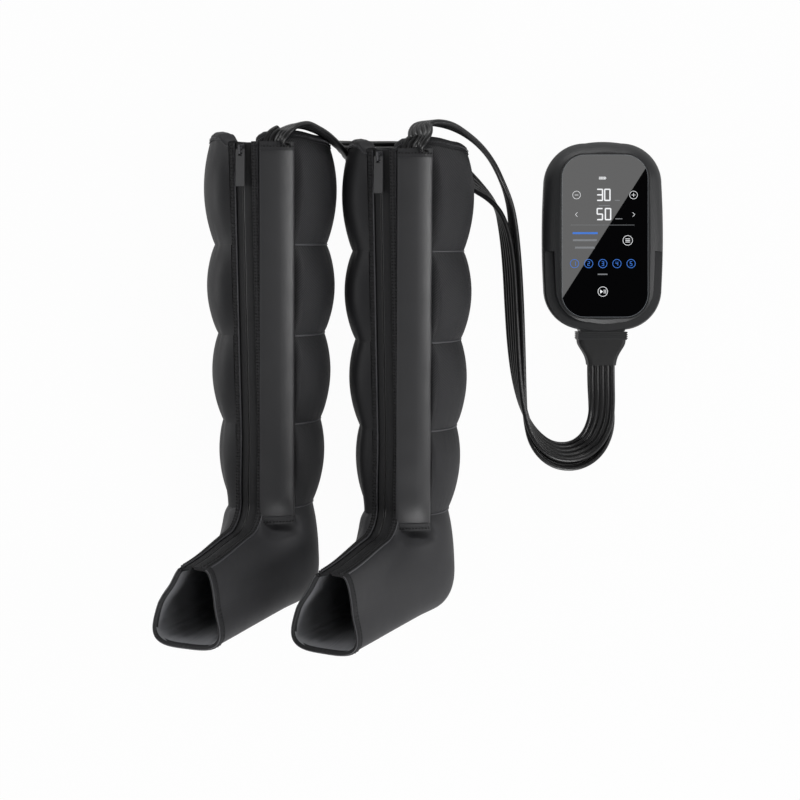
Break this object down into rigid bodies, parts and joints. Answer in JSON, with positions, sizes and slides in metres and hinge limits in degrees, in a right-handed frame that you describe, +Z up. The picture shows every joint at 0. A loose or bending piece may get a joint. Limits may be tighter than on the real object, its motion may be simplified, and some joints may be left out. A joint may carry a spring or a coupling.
{
  "type": "compression therapy pump with leg boots",
  "caption": "Air compression therapy set: a flat touch-panel pump, two ribbon hoses and a pair of zipped, inflatable, open-toed leg boots lying on their calves.",
  "frame": {"origin": "on the floor, under the middle of the set without its free hoses", "axes": "+X from the left boot to the pump, +Y from the toes' end up the legs to the rims, +Z up from the floor"},
  "size_m": [0.6425, 0.6433, 0.2826],
  "materials": {
    "bladder_fabric": "coated nylon, matte satin",
    "liner_fabric": "coated lining, wrinkled",
    "sleeve_fabric": "smooth coated fabric",
    "binding_tape": "woven tape, two rows of stitches",
    "zip_tape": "woven tape",
    "zip_coil": "nylon coil",
    "slider_metal": "die-cast, painted",
    "pull_plastic": "moulded, satin",
    "hose_rubber": "extruded elastomer, satin",
    "fitting_plastic": "moulded",
    "shell_plastic": "moulded, fine satin texture",
    "trim_plastic": "moulded, semi-gloss",
    "black_glass": "back-printed black, polished",
    "diffuser_plastic": "milky",
    "circuit_board": "solder mask",
    "sensor_plastic": "moulded",
    "battery_wrap": "heat-shrink film",
    "motor_steel": "drawn can",
    "screw_steel": "blackened",
    "foot_rubber": "moulded"
  },
  "bodies": {
    "boots_and_hoses": {"left_chamber_1": "bladder_fabric", "left_chamber_2": "bladder_fabric", "left_chamber_3": "bladder_fabric", "left_chamber_4": "bladder_fabric", "left_foot_chamber": "bladder_fabric", "left_leg_liner": "liner_fabric", "left_rim_binding": "binding_tape", "left_toe_binding": "binding_tape", "left_zip_tapes": "zip_tape", "left_zip_coils": "zip_coil", "left_zip_bindings": "binding_tape", "left_hose_sleeve": "sleeve_fabric", "left_inner_hoses": "hose_rubber", "left_air_fittings": "fitting_plastic", "right_chamber_1": "bladder_fabric", "right_chamber_2": "bladder_fabric", "right_chamber_3": "bladder_fabric", "right_chamber_4": "bladder_fabric", "right_foot_chamber": "bladder_fabric", "right_leg_liner": "liner_fabric", "right_rim_binding": "binding_tape", "right_toe_binding": "binding_tape", "right_zip_tapes": "zip_tape", "right_zip_coils": "zip_coil", "right_zip_bindings": "binding_tape", "right_hose_sleeve": "sleeve_fabric", "right_inner_hoses": "hose_rubber", "right_air_fittings": "fitting_plastic", "plug_grip": "shell_plastic", "plug_nozzles": "fitting_plastic", "plug_boot": "hose_rubber", "hose_ribbon_left": "hose_rubber", "hose_ribbon_right": "hose_rubber"},
    "left_slider": {"left_zip_slider": "slider_metal"},
    "left_pull": {"left_pull_tab": "pull_plastic"},
    "right_slider": {"right_zip_slider": "slider_metal"},
    "right_pull": {"right_pull_tab": "pull_plastic"},
    "pump": {"rear_shell": "shell_plastic", "front_shell": "shell_plastic", "touch_panel": "black_glass", "panel_trim": "trim_plastic", "light_guide": "diffuser_plastic", "display_board": "circuit_board", "main_board": "circuit_board", "pressure_sensor": "sensor_plastic", "battery_pack": "battery_wrap", "air_pump": "sensor_plastic", "pump_motor": "motor_steel", "hose_socket": "trim_plastic", "air_tubes": "hose_rubber", "valve_manifold": "fitting_plastic", "solenoid_valves": "motor_steel", "power_inlet": "trim_plastic", "shell_screws": "screw_steel", "rubber_feet": "foot_rubber"}
  },
  "joints": [
    {"name": "left_zip", "type": "slide", "parent": "boots_and_hoses", "child": "left_slider", "axis": [0.0136, -0.9963, -0.0843], "range_m": [0, 0.375]},
    {"name": "left_pull_hinge", "type": "hinge", "parent": "left_slider", "child": "left_pull", "pos_m": [-0.23205, 0.28157, 0.16132], "axis": [-0.9272, 0.019, -0.3741], "range_deg": [0, 150]},
    {"name": "right_zip", "type": "slide", "parent": "boots_and_hoses", "child": "right_slider", "axis": [0.0171, -0.9964, -0.0827], "range_m": [0, 0.375]},
    {"name": "right_pull_hinge", "type": "hinge", "parent": "right_slider", "child": "right_pull", "pos_m": [-0.06054, 0.27325, 0.15783], "axis": [-0.8829, 0.0238, -0.4689], "range_deg": [0, 150]},
    {"name": "hose_plug_pull", "type": "slide", "parent": "boots_and_hoses", "child": "pump", "axis": [0, 1, 0], "range_m": [0, 0.03]}
  ]
}
